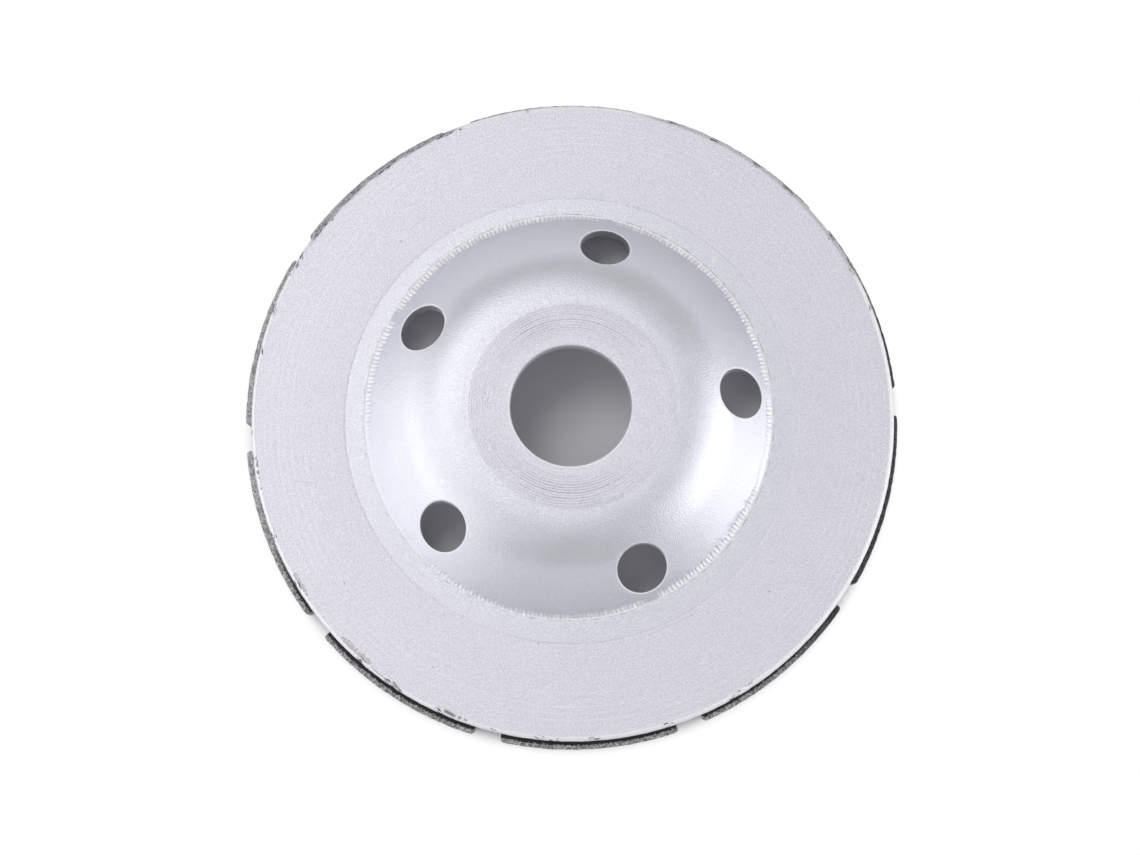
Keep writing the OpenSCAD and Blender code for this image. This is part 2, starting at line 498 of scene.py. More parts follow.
    def vent_lip_highlight(self, x, y):
        """Painted highlight on the edge of a vent hole: up to its share on the edge, stronger on the outer side, and
        0 a little away from it.
        """
        pitch = 2.0 * math.pi / self.vents.count
        turn = (np.arctan2(y, x) - self.vents.start + pitch / 2.0) % pitch - pitch / 2.0
        r = np.hypot(x, y)
        radial = (r * np.cos(turn) - self.vents.circle_radius) / (self.vents.length / 2.0)
        across = r * np.sin(turn) / (self.vents.width / 2.0)
        gap = (np.hypot(radial, across) - 1.0) * self.vents.length / 2.0
        inner, outer = self.VENT_HIGHLIGHT_SHARES
        share = inner + (outer - inner) * smooth_step(-0.6, 0.6, radial)
        return share * (1.0 - smooth_step(0.1 * MM, 0.4 * MM, gap))

    def bore_highlight(self, x, y):
        """Share of the painted highlight on the bore's chamfer, brightest on one side."""
        chamfer = self.cup.bore_chamfer
        on_edge = 1.0 - smooth_step(chamfer * 1.0, chamfer * 1.5, np.hypot(x, y) - self.cup.bore_radius)
        towards = 0.5 + 0.5 * np.cos(np.arctan2(y, x) - self.BORE_HIGHLIGHT_TOWARDS)
        return self.BORE_HIGHLIGHT_SHARE * on_edge * smooth_step(0.3, 0.8, towards)

    def bevel_light_and_wear(self, x, y):
        """Shares of the painted highlight on the bevel, and of its stretches that are painted darker as shade or worn
        to the steel.
        """
        angle, inside = self.around_rim(x, y)
        bevel = self.cup.rim_bevel
        dull = 1.0 - smooth_step(*self.SHADED_HALF_ANGLES, angle_apart(angle, self.SHADED_BEVEL))
        worn = 1.0 - smooth_step(*self.WORN_HALF_ANGLES, angle_apart(angle, self.WORN_BEVEL))
        reach = bevel * (1.05 + 0.2 * np.cos(angle - self.WIDEST_HIGHLIGHT))
        # Painted highlight on the bevel, left off the shaded stretch and the worn stretch
        bright = (1.0 - dull) * (1.0 - worn) * (1.0 - smooth_step(reach, reach + 0.2 * MM, inside))
        # Painted shade on the shaded stretch of the bevel
        beside = 1.0 - smooth_step(bevel * 1.3, bevel * 1.7, inside)
        limit = bevel * 0.8 + 6.0 * self.ragged(angle)
        flaked = 1.0 - smooth_step(limit, limit + 0.25 * MM, inside)
        return self.BEVEL_HIGHLIGHT_SHARE * bright, np.maximum(self.SHADED_BEVEL_SHARE * dull * beside, self.WORN_SHARE * worn * flaked)

    def finish(self, x, y):
        """Share of the smooth pressed slope, and share of the marks along its foot, which with the vent lips, the
        bevel and the bore's edge are painted near white as a highlight.
        """
        r = np.hypot(x, y)
        share = self.lean(r)
        from_x, from_y = x - share * self.press_offset[0], y - share * self.press_offset[1]
        angle = np.arctan2(from_y, from_x)
        inside = self.crease_r - np.hypot(from_x, from_y)
        marks = self.press_marks(angle, inside)
        # Painted highlight on the burr, strongest towards one direction
        burr = self.lip(angle, inside) * (0.62 + 0.38 * np.cos(angle - self.TICK_HIGHLIGHT_DIRECTION))
        marks = np.maximum(marks, burr) * (1.0 - self.calm(angle))
        marks = np.maximum(marks, self.vent_lip_highlight(x, y))
        marks = np.maximum(marks, self.bevel_light_and_wear(x, y)[0])
        marks = np.maximum(marks, self.bore_highlight(x, y))
        start = self.cup.hub_face_radius
        smooth = 0.3 * smooth_step(start, start + 0.3 * MM, r) + 0.7 * smooth_step(start, start + self.GLOSS_RISE, r)
        edge = smooth_step(self.LIP_HALF_WIDTH, 2.0 * self.LIP_HALF_WIDTH, inside)
        unturned = self.UNTURNED_GLOSS * (1.0 - smooth_step(-0.1 * MM, 0.1 * MM, r - self.cup.ring_radius))
        unturned = np.where(r > start, unturned, 0.0)
        return np.maximum(smooth * edge, unturned) * (1.0 - marks), marks


class MeshRows:
    """Collects points and faces, row by row, and turns them into one mesh."""

    def __init__(self):
        self.points = []
        self.faces = []
        self.count = 0

    def add(self, x, y, z):
        """Adds a run of points and returns their indices."""
        run = np.stack(np.broadcast_arrays(x, y, z), axis=-1).reshape(-1, 3)
        self.points.append(run)
        first = self.count
        self.count += len(run)
        return np.arange(first, self.count)

    def join(self, a, b):
        """Faces between two closed rows: as many points in b, or a whole number of times as many."""
        ratio = len(b) // len(a)
        if ratio == 0:
            self.join_finer(b, a, len(a) // len(b), False)
        elif ratio == 1:
            quads = np.stack([a, b, np.roll(b, -1), np.roll(a, -1)], axis=1)
            self.faces.extend(quads.tolist())
        else:
            self.join_finer(a, b, ratio, True)

    def join_finer(self, coarse, fine, ratio, outwards):
        """Faces between a coarse row and a finer one."""
        for i in range(len(coarse)):
            start = i * ratio
            run = [int(fine[(start + k) % len(fine)]) for k in range(ratio + 1)]
            face = [int(coarse[i])] + run + [int(coarse[(i + 1) % len(coarse)])]
            self.faces.append(face if outwards else face[::-1])

    def mesh(self, name):
        data = bpy.data.meshes.new(name)
        data.from_pydata(np.concatenate(self.points).tolist(), [], self.faces)
        data.validate()
        data.polygons.foreach_set("use_smooth", np.ones(len(data.polygons), dtype=bool))
        data.update()
        return data


def add_piece(name, data):
    """Links a mesh as a piece of the wheel."""
    piece = bpy.data.objects.new(name, data)
    bpy.context.scene.collection.objects.link(piece)
    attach(piece, BODY)
    return piece


def set_point_values(data, name, values):
    """Stores one number a point for the material to read."""
    attribute = data.attributes.new(name, "FLOAT", "POINT")
    attribute.data.foreach_set("value", np.asarray(values, dtype=np.float32))


# The pressed steel cup

# Distances from the crease at which the fine columns have a row, inwards negative
CREASE_ROWS = (-1.95, -1.7, -1.48, -1.28, -1.08, -0.88, -0.7, -0.53, -0.38, -0.25, -0.15, -0.07,
               0.0, 0.07, 0.13, 0.2, 0.27, 0.42, 0.7, 1.1, 1.7)
VENT_HALF_COLUMNS = 17
VENT_MARGIN = 1.1 * MM
VENT_RINGS = (0.12, 0.3, 0.5, 0.7, 0.86)
WALL_STEPS = 4


def cup_stations(shape):
    """Radii of the rows on the upper side: plain rows, fine rows at the crease, plain rows again."""
    cup, vents = shape.cup, shape.vents
    vent_in = vents.circle_radius - vents.length / 2.0 - VENT_MARGIN
    vent_out = shape.crease_r + (CREASE_ROWS[0] - 0.35) * MM
    inner = np.concatenate([
        [cup.bore_radius + cup.bore_chamfer],
        np.linspace(cup.bore_radius + cup.bore_chamfer * 1.6, cup.hub_face_radius - shape.HUB_STEP_RUN, 11),
        [cup.hub_face_radius],
        np.linspace(cup.hub_face_radius + shape.HUB_STEP_RUN, vent_in, 10),
    ])
    vent = np.linspace(vent_in, vent_out, 13)[1:]
    crease = shape.crease_r + np.array(CREASE_ROWS) * MM
    ring = cup.ring_radius + cup.ring_width * np.array([-0.8, -0.5, 0.0, 0.5, 0.8])
    flat = np.linspace(cup.ring_radius + 1.2 * MM, cup.rim_radius - cup.rim_bevel - 1.8 * MM, 8)
    edge = cup.rim_radius - cup.rim_bevel - np.array([1.2, 0.75, 0.4, 0.18]) * MM
    outer = np.concatenate([ring, flat, edge])
    return inner, vent, crease, outer


def vent_outline(shape, centre_angle, towards_r, towards_angle):
    """Points of a vent hole's plan outline, each in the direction of a point on the patch's edge."""
    vents = shape.vents
    radial = towards_r * np.cos(towards_angle) - vents.circle_radius
    across = towards_r * np.sin(towards_angle)
    around = np.arctan2(across / vents.width, radial / vents.length)
    u = vents.circle_radius + vents.length / 2.0 * np.cos(around)
    v = vents.width / 2.0 * np.sin(around)
    outward_u, outward_v = np.cos(around) / vents.length, np.sin(around) / vents.width
    scale = np.hypot(outward_u, outward_v)
    c, s = math.cos(centre_angle), math.sin(centre_angle)

    def turned(p, q):
        return p * c - q * s, p * s + q * c

    return turned(u, v), turned(outward_u / scale, outward_v / scale)


def close_vent(rows, shape, centre_angle, upper_loop, lower_loop):
    """Fills the patch around one vent hole on both sides and walls the hole."""
    points = np.concatenate(rows.points)
    top_edge, low_edge = points[upper_loop], points[lower_loop]
    r = np.hypot(low_edge[:, 0], low_edge[:, 1])
    angle = np.arctan2(low_edge[:, 1], low_edge[:, 0]) - centre_angle
    (hole_x, hole_y), (out_x, out_y) = vent_outline(shape, centre_angle, r, angle)
    lip = shape.vents.lip

    def side(edge, height, lip_radius, lip_sign):
        """Rings from the patch's edge to the rounded lip of the hole."""
        start_x, start_y = hole_x + out_x * lip_radius, hole_y + out_y * lip_radius
        rings = []
        for share in VENT_RINGS:
            x = edge[:, 0] + (start_x - edge[:, 0]) * share
            y = edge[:, 1] + (start_y - edge[:, 1]) * share
            rings.append(rows.add(x, y, height(x, y)))
        for step in (1.0, 0.62, 0.3, 0.08, 0.0):
            x, y = hole_x + out_x * lip_radius * step, hole_y + out_y * lip_radius * step
            drop = lip_radius * (1.0 - math.sqrt(1.0 - (1.0 - step) ** 2))
            rings.append(rows.add(x, y, height(x, y) - lip_sign * drop))
        return rings

    upper = side(top_edge, shape.upper, lip, 1.0)
    lower = side(low_edge, shape.lower, lip * 0.6, -1.0)
    z_top = shape.upper(hole_x, hole_y) - lip
    z_low = shape.lower(hole_x, hole_y) + lip * 0.6
    wall = [rows.add(hole_x, hole_y, z_top + (z_low - z_top) * k / WALL_STEPS) for k in range(1, WALL_STEPS)]
    loops = [upper_loop] + upper + wall + lower[::-1] + [lower_loop]
    for a, b in zip(loops, loops[1:]):
        rows.join(a, b)


def strip_without_vents(rows, a, b, vent_count, flipped):
    """Faces between two rows of the vent band, apart from the patches around the vent holes."""
    pitch = COLUMNS // vent_count
    columns = np.arange(COLUMNS)
    offset = (columns + VENT_HALF_COLUMNS) % pitch
    keep = columns[offset >= 2 * VENT_HALF_COLUMNS]
    following = (keep + 1) % COLUMNS
    quads = np.stack([a[keep], b[keep], b[following], a[following]], axis=1)
    rows.faces.extend((quads[:, ::-1] if flipped else quads).tolist())


def patch_loop(band, index, vent_count):
    """Indices around the patch of one vent hole, from the rows of the vent band."""
    middle = index * (COLUMNS // vent_count)
    columns = [(middle + k) % COLUMNS for k in range(-VENT_HALF_COLUMNS, VENT_HALF_COLUMNS + 1)]
    inner = [band[0][c] for c in columns]
    right = [row[columns[-1]] for row in band[1:-1]]
    outer = [band[-1][c] for c in reversed(columns)]
    left = [row[columns[0]] for row in reversed(band[1:-1])]
    return np.array(inner + right + outer + left)


def build_cup(shape):
    """One closed mesh of the whole cup, from the bore out to the rim and back underneath."""
    cup, vents = shape.cup, shape.vents
    rows = MeshRows()
    plain = vents.start + np.arange(COLUMNS) * 2.0 * math.pi / COLUMNS
    fine = vents.start + np.arange(COLUMNS * CREASE_FINER) * 2.0 * math.pi / (COLUMNS * CREASE_FINER)

    def upper_row(r, angles):
        x, y = shape.moved(r, angles, True)
        return rows.add(x, y, shape.upper(x, y))

    def ring_row(r, z):
        worn = shape.ragged(plain) if r > cup.ring_radius else 0.0
        x, y = shape.moved(r - worn, plain, False)
        return rows.add(x, y, z)

    def under_row(r):
        x, y = shape.moved(r, plain, False)
        return rows.add(x, y, shape.lower(x, y))

    inner, vent, crease, outer = cup_stations(shape)
    bore, chamfer, bevel = cup.bore_radius, cup.bore_chamfer, cup.rim_bevel
    hub_low = shape.hub_z - cup.sheet
    bore_wall = [
        ring_row(bore + chamfer * 0.6, hub_low + 0.02 * MM), ring_row(bore + chamfer * 0.12, hub_low + chamfer * 0.8),
        ring_row(bore, hub_low + chamfer * 1.4), ring_row(bore, (hub_low + shape.hub_z) / 2.0),
        ring_row(bore, shape.hub_z - chamfer * 1.4), ring_row(bore + chamfer * 0.12, shape.hub_z - chamfer * 0.8),
        ring_row(bore + chamfer * 0.5, shape.hub_z - chamfer * 0.28),
    ]
    upper_inner = [upper_row(r, plain) for r in inner]
    upper_vent = [upper_row(r, plain) for r in vent]
    upper_crease = [upper_row(r, fine) for r in crease]
    upper_outer = [upper_row(r, plain) for r in outer]
    rim, top = cup.rim_radius, shape.flange_z
    rim_wall = [
        ring_row(rim - bevel, top - 0.02 * MM), ring_row(rim - bevel * 0.86, top - bevel * 0.13),
        ring_row(rim - bevel * 0.5, top - bevel * 0.47), ring_row(rim - bevel * 0.13, top - bevel * 0.86),
        ring_row(rim, top - bevel * 1.08), ring_row(rim, (top + shape.under_z) / 2.0),
        ring_row(rim, shape.under_z + 0.3 * MM), ring_row(rim - 0.06 * MM, shape.under_z + 0.08 * MM),
    ]
    under_outer = [under_row(r) for r in np.concatenate([
        [rim - 0.3 * MM], np.linspace(rim - 1.2 * MM, shape.bend_r + 0.5 * MM, 5),
        np.linspace(shape.bend_r, vent[-1] + 0.3 * MM, 5)])]
    under_vent = [under_row(r) for r in np.concatenate([vent[::-1], [inner[-1]]])]
    under_inner = [under_row(r) for r in np.concatenate([
        np.linspace(inner[-1], cup.hub_face_radius, 5)[1:],
        [cup.hub_face_radius - 2.5 * MM, bore + chamfer * 2.5]])]

    for chain in (bore_wall + upper_inner, upper_vent[-1:] + upper_crease + upper_outer + rim_wall + under_outer
                  + under_vent[:1], under_vent[-1:] + under_inner + bore_wall[:1]):
        for a, b in zip(chain, chain[1:]):
            rows.join(a, b)
    upper_band = upper_inner[-1:] + upper_vent
    lower_band = under_vent[::-1]
    for a, b in zip(upper_band, upper_band[1:]):
        strip_without_vents(rows, a, b, vents.count, False)
    for a, b in zip(lower_band, lower_band[1:]):
        strip_without_vents(rows, a, b, vents.count, True)
    for index in range(vents.count):
        centre = vents.start + index * 2.0 * math.pi / vents.count
        upper_loop = patch_loop(upper_band, index, vents.count)
        lower_loop = patch_loop(lower_band, index, vents.count)
        close_vent(rows, shape, centre, upper_loop, lower_loop)

    data = rows.mesh("painted_cup")
    where = np.concatenate(rows.points)
    on_top = smooth_step(-0.4 * MM, -0.1 * MM, where[:, 2] - shape.upper(where[:, 0], where[:, 1]))
    pressed, marks = shape.finish(where[:, 0], where[:, 1])
    set_point_values(data, "pressed", pressed * on_top)
    # Share of the marks and of the painted highlight, for the material to whiten the paint
    set_point_values(data, "marks_and_highlight", marks * on_top)
    high = smooth_step(shape.under_z + 0.6 * MM, shape.under_z + 2.0 * MM, where[:, 2])
    set_point_values(data, "chipped", shape.chipped(where[:, 0], where[:, 1]) * high)
    set_point_values(data, "rubbed", shape.rubbed(where[:, 0], where[:, 1]) * high)
    radius = np.hypot(where[:, 0], where[:, 1])
    # Painted shade: the vent walls are painted dark towards the steel colour
    in_vent = (radius > cup.hub_face_radius) & (radius < shape.crease_r)
    below = shape.upper(where[:, 0], where[:, 1]) - where[:, 2]
    steel_and_shade = in_vent * smooth_step(vents.lip * 0.9, vents.lip * 1.6, below) * shape.VENT_WALL_SHADE
    # Painted shade beside the crease and on a stretch of the bevel, and bare steel where the bevel is worn
    steel_and_shade = np.maximum(steel_and_shade, shape.seam(where[:, 0], where[:, 1]) * on_top)
    steel_and_shade = np.maximum(steel_and_shade, shape.bevel_light_and_wear(where[:, 0], where[:, 1])[1] * high)
    set_point_values(data, "steel_and_shade", steel_and_shade)
    return data


# The abrasive segments

def box_surface(cells):
    """Lattice points on the surface of a box of that many cells, with its quads facing outwards."""
    index = {}
    points, quads = [], []

    def at(p):
        if p not in index:
            index[p] = len(points)
            points.append(p)
        return index[p]

    for axis in range(3):
        u, v = (axis + 1) % 3, (axis + 2) % 3
        for side in (0, cells[axis]):
            for i in range(cells[u]):
                for j in range(cells[v]):
                    corners = []
                    for du, dv in ((0, 0), (1, 0), (1, 1), (0, 1)):
                        p = [0, 0, 0]
                        p[axis], p[u], p[v] = side, i + du, j + dv
                        corners.append(at(tuple(p)))
                    quads.append(corners if side else corners[::-1])
    return np.array(points, dtype=float), quads


def build_segment(node, sizes, rim_radius):
    """One arc-shaped segment with worn edges and a coarse sintered surface."""
    number = int(node.rsplit("_", 1)[1])
    pitch = 2.0 * math.pi / len(SEGMENT_NODES)
    gap = sizes.gap / sizes.outer_radius
    start = sizes.gap_start + gap / 2.0 + (number - 1) * pitch
    span = pitch - gap
    extent = np.array([span * sizes.outer_radius, sizes.width, sizes.height])
    cells = [max(4, round(e / sizes.cell)) for e in extent]
    lattice, quads = box_surface(cells)
    place = lattice / np.array(cells) * extent
    radius = np.array([sizes.corner_radius, sizes.corner_radius, sizes.edge_radius])
    core = np.clip(place, radius, extent - radius)
    away = (place - core) / radius
    normal = away / np.maximum(np.linalg.norm(away, axis=1), 1e-9)[:, None]
    place = core + normal * radius
    inner_r = sizes.outer_radius - sizes.width
    bonded = (place[:, 2] > extent[2] - 0.01 * MM) & (place[:, 1] < rim_radius - inner_r - 0.3 * MM)
    depth = np.empty(len(place))
    for k, p in enumerate(place):
        spot = Vector((p[0], p[1], p[2])) / MM + Vector((0.0, 0.0, 37.0 * number))
        coarse = 0.5 + 0.5 * noise.fractal(spot * 0.55, 1.0, 2.0, 3)
        pit = max(0.0, 0.62 - noise.voronoi(spot * 0.9)[0][0]) * 0.8
        depth[k] = min(1.4, max(0.0, coarse * 0.7 + pit))
    depth = np.where(bonded, 0.0, depth) * sizes.roughness
    place = np.clip(place - normal * depth[:, None], 0.0, extent)
    angle = start + place[:, 0] / sizes.outer_radius
    r = inner_r + place[:, 1]
    points = np.stack([r * np.cos(angle), r * np.sin(angle), place[:, 2] + SEGMENT_LOW.z], axis=1)
    data = bpy.data.meshes.new(node + "_grit")
    data.from_pydata(points.tolist(), [], [q[::-1] for q in quads])
    data.validate()
    data.polygons.foreach_set("use_smooth", np.ones(len(data.polygons), dtype=bool))
    data.update()
    return data


# Shader building

def new_group(name, inputs, outputs):
    """An empty shader node group. inputs are (name, socket type, default)."""
    group = bpy.data.node_groups.new(name, "ShaderNodeTree")
    for label, kind, default in inputs:
        socket = group.interface.new_socket(label, in_out="INPUT", socket_type=kind)
        if default is not None:
            socket.default_value = default
    for label, kind in outputs:
        group.interface.new_socket(label, in_out="OUTPUT", socket_type=kind)
    return group, Wiring(group)


class Wiring:
    """Short ways to add and join the nodes of one tree."""

    def __init__(self, tree):
        self.tree = tree
        self.column = 0

    def node(self, kind, **settings):
        made = self.tree.nodes.new(kind)
        made.location = (self.column * 190, 0)
        self.column += 1
        for key, value in settings.items():
            setattr(made, key, value)
        return made

    def feed(self, socket, value):
        """Links a socket to another, or sets it to a plain value."""
        if isinstance(value, bpy.types.NodeSocket):
            self.tree.links.new(value, socket)
        else:
            socket.default_value = value

    def math(self, operation, *values, clamp=False):
        made = self.node("ShaderNodeMath", operation=operation, use_clamp=clamp)
        for socket, value in zip(made.inputs, values):
            self.feed(socket, value)
        return made.outputs[0]

    def vector(self, operation, *values, output=0):
        made = self.node("ShaderNodeVectorMath", operation=operation)
        for socket, value in zip(made.inputs, values):
            self.feed(socket, value)
        return made.outputs[output]

    def scale(self, vector, amount):
        made = self.node("ShaderNodeVectorMath", operation="SCALE")
        self.feed(made.inputs[0], vector)
        self.feed(made.inputs["Scale"], amount)
        return made.outputs[0]

    def span(self, value, low, high, to_low=0.0, to_high=1.0, smooth=True):
        """Maps value from low..high to to_low..to_high."""
        made = self.node("ShaderNodeMapRange", interpolation_type="SMOOTHSTEP" if smooth else "LINEAR")
        for label, given in zip(("Value", "From Min", "From Max", "To Min", "To Max"), (value, low, high, to_low, to_high)):
            self.feed(made.inputs[label], given)
        return made.outputs[0]

    def blend(self, factor, first, second):
        """Mixes two colours."""
        made = self.node("ShaderNodeMix", data_type="RGBA")
        self.feed(made.inputs["Factor"], factor)
        self.feed(made.inputs[6], first)
        self.feed(made.inputs[7], second)
        return made.outputs[2]

    def noise(self, vector, scale, detail=2.0, roughness=0.5, distortion=0.0):
        made = self.node("ShaderNodeTexNoise")
        self.feed(made.inputs["Vector"], vector)
        self.feed(made.inputs["Scale"], scale)
        self.feed(made.inputs["Detail"], detail)
        self.feed(made.inputs["Roughness"], roughness)
        self.feed(made.inputs["Distortion"], distortion)
        return made.outputs["Fac"]

    def cells(self, vector, scale, output="Distance", feature="F1"):
        made = self.node("ShaderNodeTexVoronoi", feature=feature)
        self.feed(made.inputs["Vector"], vector)
        self.feed(made.inputs["Scale"], scale)
        return made.outputs[output]

    def group(self, tree, **values):
        """Places a node group. Keywords are its inputs' names with underscores for spaces."""
        made = self.node("ShaderNodeGroup", node_tree=tree)
        for label, value in values.items():
            self.feed(made.inputs[label.replace("_", " ").title()], value)
        return made.outputs


def grain_group():
    """Fine peel and speckle, for paint and for sintered metal alike."""
    group, wire = new_group(
        "Surface Grain",
        [("Position", "NodeSocketVector", None), ("Grain Size", "NodeSocketFloat", 0.0004),
         ("Speckle Size", "NodeSocketFloat", 0.002), ("Speckle Share", "NodeSocketFloat", 0.1)],
        [("Height", "NodeSocketFloat"), ("Tone", "NodeSocketFloat"), ("Speckle", "NodeSocketFloat")])
    given = wire.node("NodeGroupInput").outputs
    fineness = wire.math("DIVIDE", 1.0, given["Grain Size"])
    peel = wire.noise(given["Position"], fineness, detail=2.5, roughness=0.62)
    broad = wire.noise(given["Position"], wire.math("MULTIPLY", fineness, 0.06), detail=3.0)
    spots = wire.node("ShaderNodeTexVoronoi", feature="F1")
    wire.feed(spots.inputs["Vector"], given["Position"])
    wire.feed(spots.inputs["Scale"], wire.math("DIVIDE", 1.0, given["Speckle Size"]))
    pick = wire.node("ShaderNodeSeparateColor")
    wire.feed(pick.inputs[0], spots.outputs["Color"])
    chosen = wire.math("LESS_THAN", pick.outputs[0], given["Speckle Share"])
    size = wire.span(pick.outputs[1], 0.0, 1.0, 0.05, 0.16, smooth=False)
    dot = wire.math("LESS_THAN", spots.outputs["Distance"], size)
    out = wire.node("NodeGroupOutput")
    wire.feed(out.inputs["Height"], peel)
    wire.feed(out.inputs["Tone"], broad)
    wire.feed(out.inputs["Speckle"], wire.math("MULTIPLY", chosen, dot))
    return group


def turning_group():
    """Fine rings left by a turning tool between two radii."""
    group, wire = new_group(
        "Turning Rings",
        [("Position", "NodeSocketVector", None), ("Centre", "NodeSocketVector", (0.0, 0.0, 0.0)),
         ("Inner Radius", "NodeSocketFloat", 0.012), ("Outer Radius", "NodeSocketFloat", 0.019),
         ("Ring Pitch", "NodeSocketFloat", 0.0005)],
        [("Height", "NodeSocketFloat")])
    given = wire.node("NodeGroupInput").outputs
    apart = wire.vector("SUBTRACT", given["Position"], given["Centre"])
    flat = wire.vector("MULTIPLY", apart, (1.0, 1.0, 0.0))
    radius = wire.vector("LENGTH", flat, output=1)
    steps = wire.math("DIVIDE", radius, given["Ring Pitch"])
    place = wire.node("ShaderNodeCombineXYZ")
    wire.feed(place.inputs[0], steps)
    uneven = wire.noise(place.outputs[0], 0.7, detail=1.0)
    fade = wire.noise(given["Position"], 90.0, detail=1.0)
    wave = wire.math("SINE", wire.math("MULTIPLY", steps, 2.0 * math.pi))
    groove = wire.math("POWER", wire.math("MULTIPLY", wire.math("ADD", wave, 1.0), 0.5), 6.0)
    ring = wire.math("MULTIPLY", groove, wire.span(uneven, 0.35, 0.65, 0.45, 1.0))
    inner = wire.span(radius, given["Inner Radius"], wire.math("ADD", given["Inner Radius"], 0.0025))
    outer = wire.span(radius, wire.math("SUBTRACT", given["Outer Radius"], 0.0006), given["Outer Radius"], 1.0, 0.0)
    window = wire.math("MULTIPLY", wire.math("MULTIPLY", inner, outer), wire.span(fade, 0.35, 0.65, 0.4, 1.0))
    out = wire.node("NodeGroupOutput")
    wire.feed(out.inputs[0], wire.math("MULTIPLY", ring, window))
    return group


def scratch_group():
    """One fine scratch between two points."""
    group, wire = new_group(
        "Scratch",
        [("Position", "NodeSocketVector", None), ("Start", "NodeSocketVector", (0.0, 0.0, 0.0)),
         ("End", "NodeSocketVector", (0.01, 0.0, 0.0)), ("Width", "NodeSocketFloat", 0.0002)],
        [("Mask", "NodeSocketFloat")])
    given = wire.node("NodeGroupInput").outputs
    flat = wire.vector("MULTIPLY", given["Position"], (1.0, 1.0, 0.0))
    run = wire.vector("SUBTRACT", given["End"], given["Start"])
    away = wire.vector("SUBTRACT", flat, given["Start"])
    along = wire.math("DIVIDE", wire.vector("DOT_PRODUCT", away, run, output=1),
                      wire.vector("DOT_PRODUCT", run, run, output=1), clamp=True)
    nearest = wire.vector("SUBTRACT", away, wire.scale(run, along))
    ragged = wire.noise(given["Position"], 900.0, detail=2.0)
    half = wire.math("MULTIPLY", given["Width"], ragged)
    gone = wire.vector("LENGTH", nearest, output=1)
    out = wire.node("NodeGroupOutput")
    wire.feed(out.inputs[0], wire.span(gone, 0.0, half, 1.0, 0.0))
    return group


def fleck_group():
    """Small flecks that lie along a circle, more of them where the mask is higher."""
    group, wire = new_group(
        "Edge Flecks",
        [("Position", "NodeSocketVector", None), ("Mask", "NodeSocketFloat", 0.0),
         ("Size", "NodeSocketFloat", 0.0004), ("Stretch", "NodeSocketFloat", 3.0)],
        [("Fleck", "NodeSocketFloat")])
    given = wire.node("NodeGroupInput").outputs
    parts = wire.node("ShaderNodeSeparateXYZ")
    wire.feed(parts.inputs[0], given["Position"])
    flat = wire.vector("MULTIPLY", given["Position"], (1.0, 1.0, 0.0))
    radius = wire.vector("LENGTH", flat, output=1)
    turn = wire.math("ARCTAN2", parts.outputs[1], parts.outputs[0])
    along = wire.math("DIVIDE", wire.math("MULTIPLY", turn, radius), given["Stretch"])
    place = wire.node("ShaderNodeCombineXYZ")
    for socket, value in zip(place.inputs, (along, radius, parts.outputs[2])):
        wire.feed(socket, value)
    ragged = wire.noise(place.outputs[0], wire.math("DIVIDE", 1.0, given["Size"]), detail=4.0, roughness=0.62)
    limit = wire.math("SUBTRACT", 0.78, wire.math("MULTIPLY", given["Mask"], 0.25))
    out = wire.node("NodeGroupOutput")
    wire.feed(out.inputs["Fleck"], wire.span(wire.math("SUBTRACT", ragged, limit), 0.0, 0.025))
    return group


